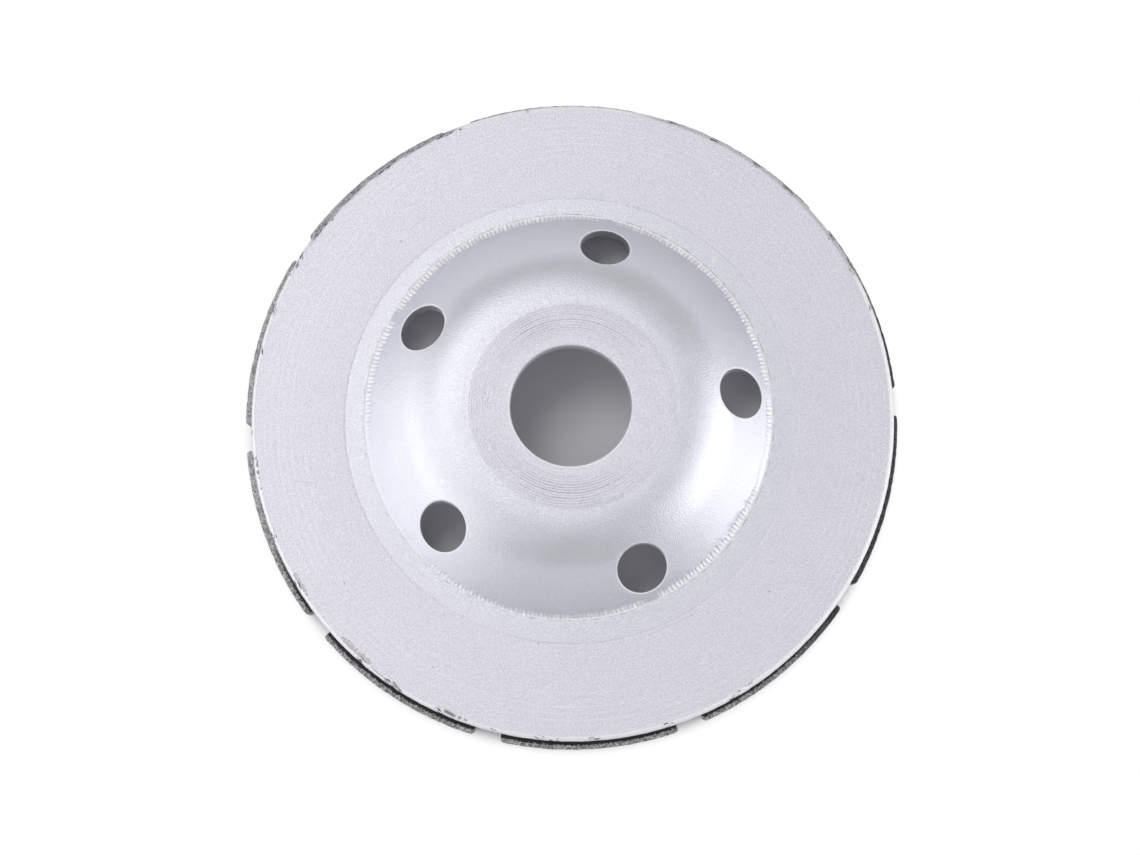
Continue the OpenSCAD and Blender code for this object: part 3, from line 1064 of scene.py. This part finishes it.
class Finishes:
    """The wheel's materials and the node groups that they share."""

    # Scratches on the flange: start and end in millimetres, and width
    SCRATCHES = (
        ((14.4, -41.2), (23.0, -37.4), 0.14),
        ((-36.1, 4.4), (-32.6, 7.1), 0.16),
        ((25.5, 48.6), (23.0, 46.4), 0.14),
        ((-47.4, 33.4), (-45.4, 36.2), 0.12),
        ((-52.7, -12.1), (-49.1, -12.6), 0.12),
        ((-56.6, -5.2), (-55.8, -7.8), 0.12),
        ((-31.2, 36.8), (-27.8, 39.2), 0.12),
    )
    # Dark nicks beside the bevel, in the same terms
    NICKS = (
        ((-37.1, -47.4), (-33.0, -50.6), 0.22),
        ((-33.1, -50.0), (-31.8, -51.6), 0.8),
        ((-23.4, -55.4), (-21.8, -56.1), 1.0),
        ((-20.9, -56.5), (-20.6, -56.6), 0.7),
        ((-19.8, -56.9), (-19.5, -57.0), 0.7),
        ((-59.8, -7.6), (-59.8, -7.9), 0.5),
        ((-59.6, -8.8), (-59.5, -9.3), 0.6),
        ((-59.4, -10.4), (-59.3, -10.7), 0.8),
        ((-59.2, -11.5), (-59.1, -11.7), 0.5),
        ((-58.7, -13.5), (-58.7, -13.6), 0.5),
        ((53.2, 30.8), (54.3, 28.6), 0.9),
        ((41.3, 45.4), (42.8, 43.9), 0.9),
        ((35.4, 50.0), (36.6, 49.2), 0.8),
        ((50.0, 35.6), (50.2, 35.3), 0.9),
    )

    def __init__(self):
        self.grain = grain_group()
        self.turning = turning_group()
        self.scratch = scratch_group()
        self.fleck = fleck_group()

    def new(self, name):
        material = bpy.data.materials.new(name)
        material.use_nodes = True
        material.node_tree.nodes.clear()
        wire = Wiring(material.node_tree)
        position = wire.node("ShaderNodeTexCoord").outputs["Object"]
        shader = wire.node("ShaderNodeBsdfPrincipled")
        wire.feed(wire.node("ShaderNodeOutputMaterial").inputs[0], shader.outputs[0])
        return material, wire, position, shader

    def bump(self, wire, height, distance, strength, normal=None):
        made = wire.node("ShaderNodeBump")
        wire.feed(made.inputs["Height"], height)
        wire.feed(made.inputs["Distance"], distance)
        wire.feed(made.inputs["Strength"], strength)
        if normal is not None:
            wire.feed(made.inputs["Normal"], normal)
        return made.outputs[0]

    def attribute(self, wire, name):
        return wire.node("ShaderNodeAttribute", attribute_name=name).outputs["Fac"]

    def scratches(self, wire, position, runs):
        """Mask of all the scratches of a list."""
        masks = []
        for start, end, width in runs:
            ends = [(point[0] * MM, point[1] * MM, 0.0) for point in (start, end)]
            made = wire.group(self.scratch, position=position, start=ends[0], end=ends[1], width=width * MM)
            masks.append(made[0])
        joined = masks[0]
        for mask in masks[1:]:
            joined = wire.math("MAXIMUM", joined, mask)
        return joined

    def silver_paint(self, look, cup):
        material, wire, position, shader = self.new("silver_paint")
        pressed = self.attribute(wire, "pressed")
        grain = wire.group(self.grain, position=position, grain_size=0.00032, speckle_size=0.0034,
                           speckle_share=0.13)
        scratches = self.scratches(wire, position, self.SCRATCHES)
        nicks = self.scratches(wire, position, self.NICKS)
        hub_rings = wire.group(self.turning, position=position, inner_radius=0.0120,
                               outer_radius=cup.hub_face_radius + 0.0002, ring_pitch=0.0005)[0]
        rim_rings = wire.group(self.turning, position=position, centre=(0.0006, -0.0004, 0.0), inner_radius=0.050,
                               outer_radius=cup.rim_radius - 0.0016, ring_pitch=0.00125)[0]
        flecks = wire.group(self.fleck, position=position, mask=self.attribute(wire, "chipped"))[0]
        flecks = wire.math("MAXIMUM", flecks, wire.math("MULTIPLY", nicks, 0.85))
        patches = wire.noise(position, 2000.0, detail=4.0, roughness=0.6)
        rubbed = wire.math("ADD", wire.math("MULTIPLY", self.attribute(wire, "rubbed"), 0.55), patches)
        rubbed = wire.span(rubbed, 0.93, 1.03)
        tone = wire.span(grain["Tone"], 0.3, 0.7, 0.985, 1.015, smooth=False)
        tint = wire.blend(pressed, (*look.paint, 1.0), (*look.pressed_paint, 1.0))
        paint = wire.scale(tint, tone)
        fine = wire.span(grain["Height"], 0.3, 0.7, 0.86, 1.11, smooth=False)
        fine = wire.span(pressed, 0.0, 1.0, fine, wire.span(grain["Height"], 0.3, 0.7, 0.94, 1.05, smooth=False))
        paint = wire.scale(paint, fine)
        # Painted shade: the hub's turning grooves are painted darker
        paint = wire.blend(wire.math("MULTIPLY", hub_rings, 0.25), paint, (0.3, 0.3, 0.32, 1.0))
        # Painted highlight: the rim's turning lines are painted lighter
        paint = wire.blend(wire.math("MULTIPLY", rim_rings, 0.3), paint, (0.95, 0.94, 1.0, 1.0))
        paint = wire.blend(wire.math("MULTIPLY", grain["Speckle"], 0.3), paint, (0.93, 0.93, 0.96, 1.0))
        shifted = wire.vector("ADD", position, (0.31, 0.17, 0.0))
        specks = wire.group(self.grain, position=shifted, speckle_size=0.0014, speckle_share=0.02)["Speckle"]
        specks = wire.math("MULTIPLY", specks, wire.span(pressed, 0.0, 1.0, 0.45, 0.1, smooth=False))
        paint = wire.blend(specks, paint, (0.25, 0.24, 0.25, 1.0))
        # Painted highlight: the crease marks, vent lips, bevel and bore edge turn near white
        paint = wire.blend(self.attribute(wire, "marks_and_highlight"), paint, (*look.edge, 1.0))
        paint = wire.blend(wire.math("MULTIPLY", scratches, 0.25), paint, (0.42, 0.41, 0.43, 1.0))
        paint = wire.blend(wire.math("MULTIPLY", rubbed, 0.75), paint, (*look.rubbed, 1.0))
        paint = wire.blend(wire.math("MULTIPLY", flecks, 0.9), paint, (*look.steel, 1.0))
        # Bare steel where the bevel is worn, and painted shade in the vent walls, on a line beside the crease and on
        # a stretch of the bevel
        colour = wire.blend(self.attribute(wire, "steel_and_shade"), paint, (*look.steel, 1.0))
        wire.feed(shader.inputs["Base Color"], colour)
        # Less metal under the painted highlight, so that it stays white
        highlight_matte = wire.math("MULTIPLY", self.attribute(wire, "marks_and_highlight"), look.metallic * 0.8)
        wire.feed(shader.inputs["Metallic"], wire.math("SUBTRACT", look.metallic, highlight_matte))
        rough = wire.span(pressed, 0.0, 1.0, look.turned_roughness, look.pressed_roughness, smooth=False)
        rough = wire.math("ADD", rough, wire.span(grain["Tone"], 0.3, 0.7, -0.02, 0.02, smooth=False))
        wire.feed(shader.inputs["Roughness"], wire.math("ADD", rough, wire.math("MULTIPLY", flecks, 0.15)))
        peel_depth = wire.span(pressed, 0.0, 1.0, 1.0, 0.65, smooth=False)
        peel = wire.math("MULTIPLY", grain["Height"], peel_depth)
        normal = self.bump(wire, peel, 0.00012, 1.0)
        rings = wire.math("ADD", hub_rings, wire.math("MULTIPLY", rim_rings, 0.25))
        normal = self.bump(wire, wire.math("MULTIPLY", rings, -1.0), 0.00008, 1.0, normal)
        marks = wire.math("ADD", wire.math("MULTIPLY", scratches, 0.35), flecks)
        normal = self.bump(wire, wire.math("MULTIPLY", marks, -1.0), 0.00008, 0.9, normal)
        wire.feed(shader.inputs["Normal"], normal)
        return material

    def diamond_matrix(self, look, rim_radius):
        material, wire, position, shader = self.new("diamond_matrix")
        grain = wire.group(self.grain, position=position, grain_size=0.0003, speckle_size=0.00062, speckle_share=0.5)
        flat = wire.vector("MULTIPLY", position, (1.0, 1.0, 0.0))
        radius = wire.vector("LENGTH", flat, output=1)
        parts = wire.node("ShaderNodeSeparateXYZ")
        wire.feed(parts.inputs[0], position)
        facet = wire.cells(position, 3400.0, output="Color")
        pick = wire.node("ShaderNodeSeparateColor")
        wire.feed(pick.inputs[0], facet)
        bright = wire.math("POWER", pick.outputs[0], 1.5)
        # Painted light: the bond is lighter towards the left, where the lamps light it, and darker elsewhere
        towards_left = wire.vector("DOT_PRODUCT", position, (-0.94, 0.34, 0.0), output=1)
        shaded_side = wire.span(towards_left, 0.036, 0.052, 1.0, 0.0)
        worn = wire.blend(shaded_side, (*look.lit_bond, 1.0), (*look.bond, 1.0))
        colour = wire.blend(bright, worn, (*look.grain, 1.0))
        colour = wire.blend(wire.span(grain["Height"], 0.52, 0.70), colour, (0.02, 0.018, 0.02, 1.0))
        ragged = wire.noise(position, 2200.0, detail=3.0)
        # Painted shadow: black on the ledge just beside the steel wall, from a ragged edge, except on the left
        seam = wire.math("ADD", radius, wire.span(ragged, 0.3, 0.7, -0.0002, 0.0002, smooth=False))
        beside = wire.span(seam, rim_radius + 0.0003, rim_radius + 0.0005, 1.0, 0.0)
        upper = wire.span(parts.outputs[2], SEGMENT_HIGH.z - 0.0008, SEGMENT_HIGH.z - 0.0003)
        painted_shade = wire.math("MULTIPLY", wire.math("MULTIPLY", beside, upper), shaded_side)
        # Painted shade: the right side of the segments is painted black
        towards_right = wire.vector("DOT_PRODUCT", position, (0.97, -0.2, 0.0), output=1)
        right_side_shade = wire.math("MULTIPLY", wire.span(towards_right, 0.046, 0.056), 0.85)
        colour = wire.blend(wire.math("MAXIMUM", painted_shade, right_side_shade), colour, (*look.painted_shadow, 1.0))
        wire.feed(shader.inputs["Base Color"], colour)
        shader.inputs["Metallic"].default_value = 0.35
        wire.feed(shader.inputs["Roughness"], wire.span(pick.outputs[1], 0.0, 1.0, 0.35, 0.8, smooth=False))
        crystals = wire.math("MULTIPLY", wire.cells(position, 2300.0), -1.0)
        normal = self.bump(wire, wire.math("ADD", crystals, grain["Height"]), 0.00016, 1.0)
        wire.feed(shader.inputs["Normal"], normal)
        return material


# Stage: floor, light and camera

def floor_material(look, wheel_radius):
    """White floor that shows the shadow under the wheel and just around it."""
    material = bpy.data.materials.new("studio_floor")
    material.use_nodes = True
    material.node_tree.nodes.clear()
    wire = Wiring(material.node_tree)
    position = wire.node("ShaderNodeTexCoord").outputs["Object"]
    radius = wire.vector("LENGTH", position, output=1)
    matte = wire.node("ShaderNodeBsdfDiffuse")
    matte.inputs["Color"].default_value = (*look.floor, 1.0)
    white = wire.node("ShaderNodeEmission")
    rays = wire.node("ShaderNodeLightPath").outputs
    beyond = wire.span(radius, wheel_radius - 0.002, wheel_radius + 0.0015)
    mix = wire.node("ShaderNodeMixShader")
    reflected = wire.math("MAXIMUM", rays["Is Glossy Ray"], rays["Is Transmission Ray"])
    seen = wire.math("MAXIMUM", rays["Is Camera Ray"], reflected)
    wire.feed(mix.inputs[0], wire.math("MULTIPLY", seen, beyond))
    wire.feed(mix.inputs[1], matte.outputs[0])
    wire.feed(mix.inputs[2], white.outputs[0])
    wire.feed(wire.node("ShaderNodeOutputMaterial").inputs[0], mix.outputs[0])
    return material


def add_softbox(name, place, size, target, radiance, colour=(1.0, 1.0, 1.0)):
    """A rectangular lamp of an even brightness, aimed at target."""
    lamp = bpy.data.lights.new(name, "AREA")
    lamp.shape = "RECTANGLE"
    lamp.size, lamp.size_y = size
    lamp.energy = radiance * math.pi * size[0] * size[1]
    lamp.color = colour
    made = bpy.data.objects.new(name, lamp)
    made.location = place
    aim = Vector(target) - Vector(place)
    made.rotation_euler = aim.to_track_quat("-Z", "Y").to_euler()
    bpy.context.scene.collection.objects.link(made)
    return made


def build_stage(look, wheel_radius, flange_z):
    """Floor, room light, softboxes and the camera at the photograph's angle."""
    half = 3.0
    data = bpy.data.meshes.new("floor")
    corners = [(-half, -half, 0.0), (half, -half, 0.0), (half, half, 0.0), (-half, half, 0.0)]
    data.from_pydata(corners, [], [(0, 1, 2, 3)])
    data.materials.append(floor_material(look, wheel_radius))
    floor = bpy.data.objects.new("floor", data)
    floor.location = (0.0, 0.0, CAD_BOX[0].z - 0.00005)
    bpy.context.scene.collection.objects.link(floor)

    world = bpy.data.worlds.new("room")
    world.use_nodes = True
    background = world.node_tree.nodes["Background"]
    background.inputs["Color"].default_value = (*look.sky, 1.0)
    bpy.context.scene.world = world

    middle = (0.0, 0.0, flange_z)
    add_softbox("overhead_softbox", (-0.17, 0.19, 0.60), (0.28, 0.26), middle, 3.8)
    add_softbox("left_softbox", (-0.345, -0.08, 0.20), (0.50, 0.52), middle, 0.70)
    add_softbox("left_strip", (-0.355, -0.09, 0.05), (0.66, 0.10), middle, 0.6)
    add_softbox("right_softbox", (0.51, -0.08, 0.24), (0.56, 0.52), middle, 1.04)
    add_softbox("right_strip", (0.48, -0.10, 0.06), (0.46, 0.12), middle, 1.1)

    camera_data = bpy.data.cameras.new("camera")
    camera_data.sensor_width = 36.0
    camera_data.lens = 36.0 * CAMERA_FOCAL_PIXELS / PHOTO_WIDTH
    camera = bpy.data.objects.new("camera", camera_data)
    lean = Vector((-math.sin(look.camera_turn), -math.cos(look.camera_turn), 0.0))
    tilt = look.camera_tilt
    away = lean * math.sin(tilt) + Vector((0.0, 0.0, math.cos(tilt)))
    up = Vector((0.0, 1.0, 0.0))
    right = up.cross(away).normalized()
    up = away.cross(right)
    metres_per_pixel = look.camera_distance / CAMERA_FOCAL_PIXELS
    aim = Vector(middle)
    aim += right * (PHOTO_WIDTH / 2.0 - FLANGE_MIDDLE_PIXEL[0]) * metres_per_pixel
    aim += up * (FLANGE_MIDDLE_PIXEL[1] - PHOTO_HEIGHT / 2.0) * metres_per_pixel
    camera.location = aim + away * look.camera_distance
    rotation = away.to_track_quat("Z", "Y").to_matrix()
    rotation.col[0], rotation.col[1], rotation.col[2] = right, up, away
    camera.rotation_euler = rotation.to_euler()
    bpy.context.scene.collection.objects.link(camera)
    bpy.context.scene.camera = camera
    bpy.context.scene.view_settings.view_transform = "Standard"


# The photograph's frame, and where the middle of the flange lies in it
PHOTO_WIDTH = 1140.0
PHOTO_HEIGHT = 855.0
CAMERA_FOCAL_PIXELS = 1957.0
FLANGE_MIDDLE_PIXEL = (571.1, 417.2)


# Operators

class CUPWHEEL_OT_cup(bpy.types.Operator):
    """Builds the painted steel cup in place of its plain solid"""

    bl_idname = "cupwheel.cup"
    bl_label = "Build Steel Cup"

    def execute(self, context):
        scene = context.scene
        shape = CupShape(scene.cup_sizes, scene.vent_sizes)
        data = build_cup(shape)
        data.materials.append(FINISHES[0].silver_paint(scene.paint_look, scene.cup_sizes))
        cup = add_piece("painted_cup", data)
        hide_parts("cup_body")
        return {"FINISHED"}


class CUPWHEEL_OT_segments(bpy.types.Operator):
    """Builds every abrasive segment in place of its plain solid"""

    bl_idname = "cupwheel.segments"
    bl_label = "Build Abrasive Segments"

    def execute(self, context):
        scene = context.scene
        material = FINISHES[0].diamond_matrix(scene.segment_look, scene.cup_sizes.rim_radius)
        for node in SEGMENT_NODES:
            data = build_segment(node, scene.segment_sizes, scene.cup_sizes.rim_radius)
            data.materials.append(material)
            piece = add_piece(node + "_grit", data)
            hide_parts(node)
        return {"FINISHED"}


class CUPWHEEL_OT_stage(bpy.types.Operator):
    """Sets up the floor, the soft light and the camera"""

    bl_idname = "cupwheel.stage"
    bl_label = "Set Up Stage"

    def execute(self, context):
        scene = context.scene
        build_stage(scene.studio_look, scene.segment_sizes.outer_radius, CUP_LOW.z + scene.cup_sizes.sheet)
        return {"FINISHED"}


class CUPWHEEL_PT_panel(bpy.types.Panel):
    """Buttons and sizes of the cup wheel"""

    bl_idname = "CUPWHEEL_PT_panel"
    bl_label = "Cup Wheel"
    bl_space_type = "VIEW_3D"
    bl_region_type = "UI"
    bl_category = "Cup Wheel"

    def draw(self, context):
        for operator in OPERATORS:
            self.layout.operator(operator.bl_idname)
        for name in SETTINGS:
            box = self.layout.box()
            group = getattr(context.scene, name)
            for prop in group.bl_rna.properties:
                if not prop.is_readonly and prop.identifier != "name":
                    box.prop(group, prop.identifier)


SETTINGS = {
    "cup_sizes": CupSizes,
    "vent_sizes": VentSizes,
    "segment_sizes": SegmentSizes,
    "paint_look": PaintLook,
    "segment_look": SegmentLook,
    "studio_look": StudioLook,
}
OPERATORS = (CUPWHEEL_OT_cup, CUPWHEEL_OT_segments, CUPWHEEL_OT_stage)
FINISHES = []


def register():
    for made in (*SETTINGS.values(), *OPERATORS, CUPWHEEL_PT_panel):
        bpy.utils.register_class(made)
    for name, group in SETTINGS.items():
        setattr(bpy.types.Scene, name, bpy.props.PointerProperty(type=group))


def unregister():
    for name in SETTINGS:
        delattr(bpy.types.Scene, name)
    for made in (CUPWHEEL_PT_panel, *reversed(OPERATORS), *reversed(list(SETTINGS.values()))):
        bpy.utils.unregister_class(made)


def main():
    register()
    FINISHES.append(Finishes())
    bpy.ops.cupwheel.cup()
    bpy.ops.cupwheel.segments()
    bpy.ops.cupwheel.stage()


if __name__ == "__main__":
    main()
